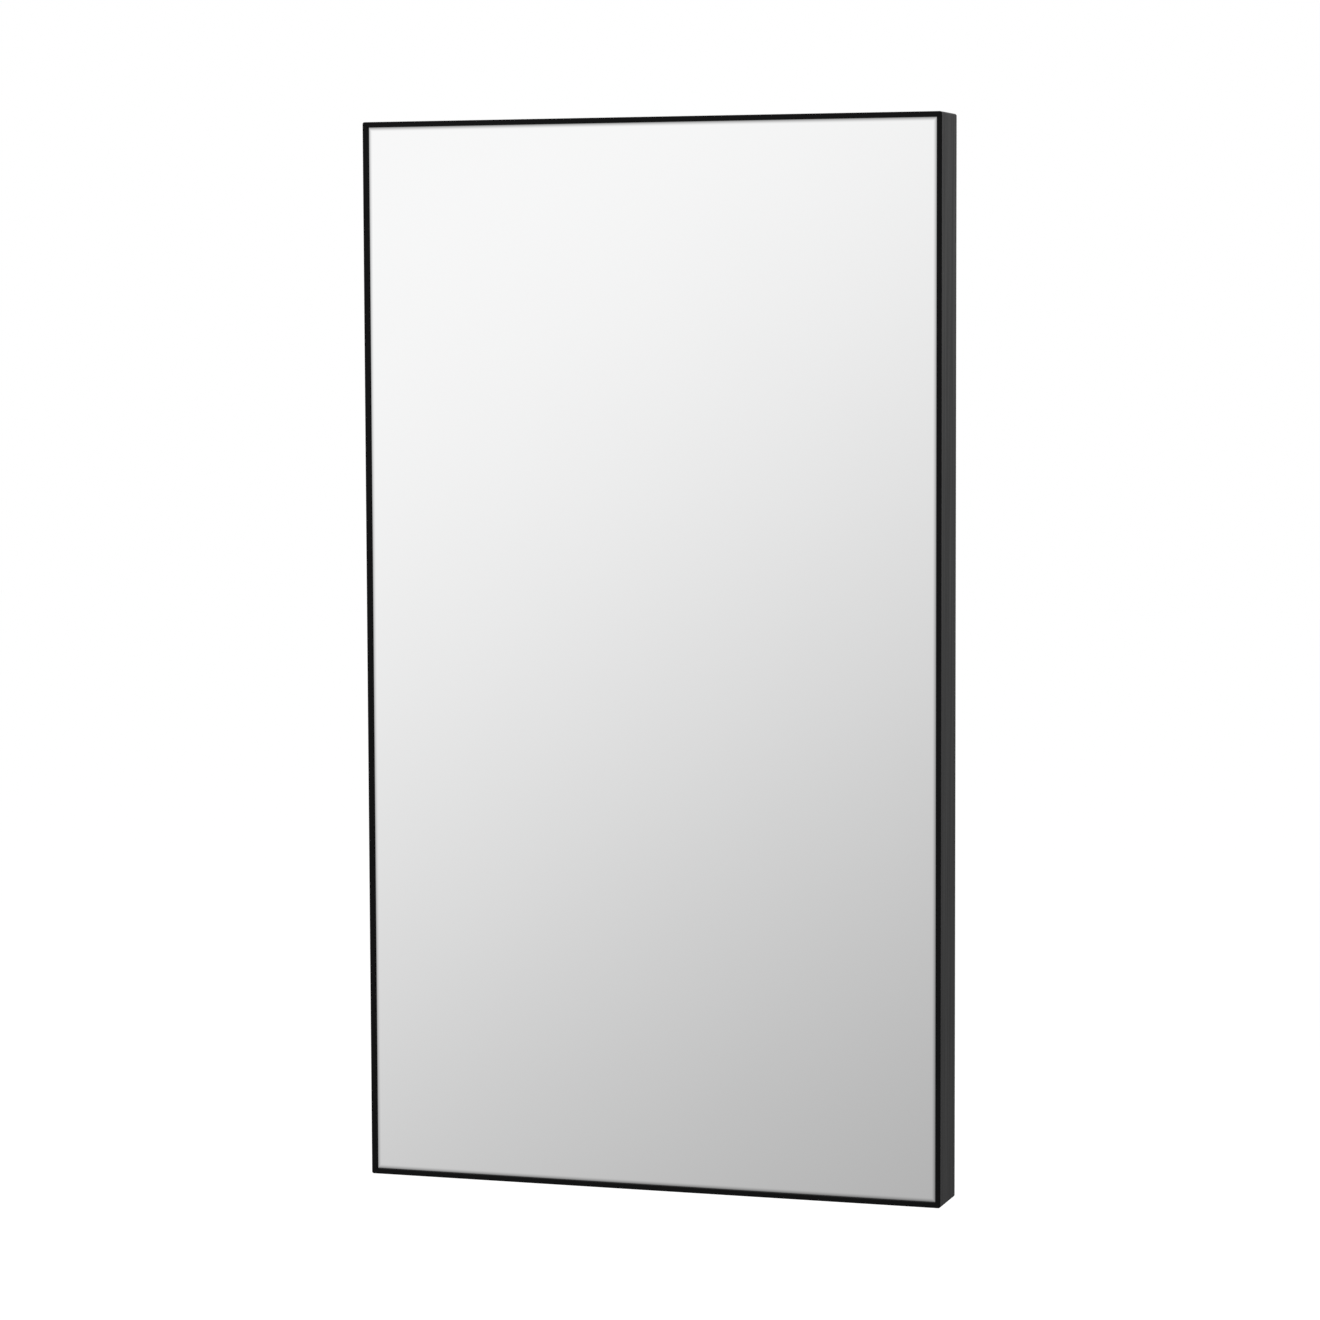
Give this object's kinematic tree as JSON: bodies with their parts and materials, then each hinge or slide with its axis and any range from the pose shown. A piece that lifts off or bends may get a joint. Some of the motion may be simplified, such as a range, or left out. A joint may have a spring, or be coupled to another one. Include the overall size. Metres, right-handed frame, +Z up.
{
  "type": "pull-out closet mirror",
  "caption": "Tall framed mirror that pulls out sideways on ball-bearing runners from a wardrobe side wall, then swivels about upright hinge pins near its leading edge.",
  "frame": {"origin": "middle of the wall face of the wall spine, halfway up the mirror and on its upright centre line", "axes": "+X the way the mirror pulls out, +Y into the wall that holds it, +Z up; the glass faces -Y"},
  "size_m": [0.56, 0.0889, 1],
  "materials": {
    "black_aluminium": "satin black anodised",
    "cast_aluminium": "as cast",
    "silvered_glass": "polished float glass, silvered behind",
    "foam_tape": "closed-cell foam",
    "back_board": "fibreboard with matt black laminate",
    "zinc_steel": "bright zinc plated",
    "black_steel": "fine black powder coat",
    "polished_steel": "ground and polished",
    "retainer_steel": "greased rolled steel",
    "nylon": "natural nylon",
    "black_plastic": "moulded, fine spark texture",
    "rubber": "matt moulded rubber",
    "magnet": "sintered ferrite"
  },
  "bodies": {
    "base": {"wall_rail_upper": "black_steel", "wall_rail_lower": "black_steel", "wall_spine": "black_steel", "runner_outer_member_upper": "zinc_steel", "runner_outer_member_lower": "zinc_steel", "runner_buffer_upper": "black_plastic", "runner_buffer_lower": "black_plastic"},
    "outer_balls": {"outer_ball_retainer_upper": "retainer_steel", "outer_ball_retainer_lower": "retainer_steel"},
    "runner_middle": {"runner_middle_member_upper": "zinc_steel", "runner_middle_member_lower": "zinc_steel"},
    "inner_balls": {"inner_ball_retainer_upper": "retainer_steel", "inner_ball_retainer_lower": "retainer_steel"},
    "carriage": {"runner_inner_member_upper": "zinc_steel", "runner_inner_member_lower": "zinc_steel", "carriage_post": "black_steel", "carriage_tie": "black_steel", "hinge_leaf_upper": "black_steel", "hinge_leaf_lower": "black_steel", "hinge_pin_upper": "polished_steel", "hinge_pin_lower": "polished_steel", "bumper_upper": "rubber", "bumper_lower": "rubber", "catch_housing": "black_plastic", "catch_magnet": "magnet"},
    "mirror": {"frame_rail_top": "black_aluminium", "frame_rail_bottom": "black_aluminium", "frame_stile_left": "black_aluminium", "frame_stile_right": "black_aluminium", "corner_key_top_left": "cast_aluminium", "corner_key_top_right": "cast_aluminium", "corner_key_bottom_left": "cast_aluminium", "corner_key_bottom_right": "cast_aluminium", "mirror_glass": "silvered_glass", "glazing_tape_top": "foam_tape", "glazing_tape_bottom": "foam_tape", "glazing_tape_left": "foam_tape", "glazing_tape_right": "foam_tape", "setting_block_left": "rubber", "setting_block_right": "rubber", "back_panel": "back_board", "hinge_bracket_upper": "black_steel", "hinge_bracket_lower": "black_steel", "hinge_backing_plate_upper": "zinc_steel", "hinge_backing_plate_lower": "zinc_steel", "bush_top_upper": "nylon", "bush_bottom_upper": "nylon", "bush_top_lower": "nylon", "bush_bottom_lower": "nylon", "strike_plate": "zinc_steel"}
  },
  "joints": [
    {"name": "pull_out", "type": "slide", "parent": "base", "child": "carriage", "axis": [1, 0, 0], "range_m": [0, 0.44]},
    {"name": "outer_balls_roll", "type": "slide", "parent": "base", "child": "outer_balls", "axis": [1, 0, 0], "range_m": [0, 0.11]},
    {"name": "runner_middle_slide", "type": "slide", "parent": "base", "child": "runner_middle", "axis": [1, 0, 0], "range_m": [0, 0.22]},
    {"name": "inner_balls_roll", "type": "slide", "parent": "base", "child": "inner_balls", "axis": [1, 0, 0], "range_m": [0, 0.33]},
    {"name": "swivel", "type": "hinge", "parent": "carriage", "child": "mirror", "pos_m": [0.245, -0.0241, 0], "axis": [0, 0, 1], "range_deg": [0, 90]}
  ],
  "couplings": [
    {"joint": "outer_balls_roll", "follows": "pull_out", "ratio": 0.25},
    {"joint": "runner_middle_slide", "follows": "pull_out", "ratio": 0.5},
    {"joint": "inner_balls_roll", "follows": "pull_out", "ratio": 0.75}
  ]
}
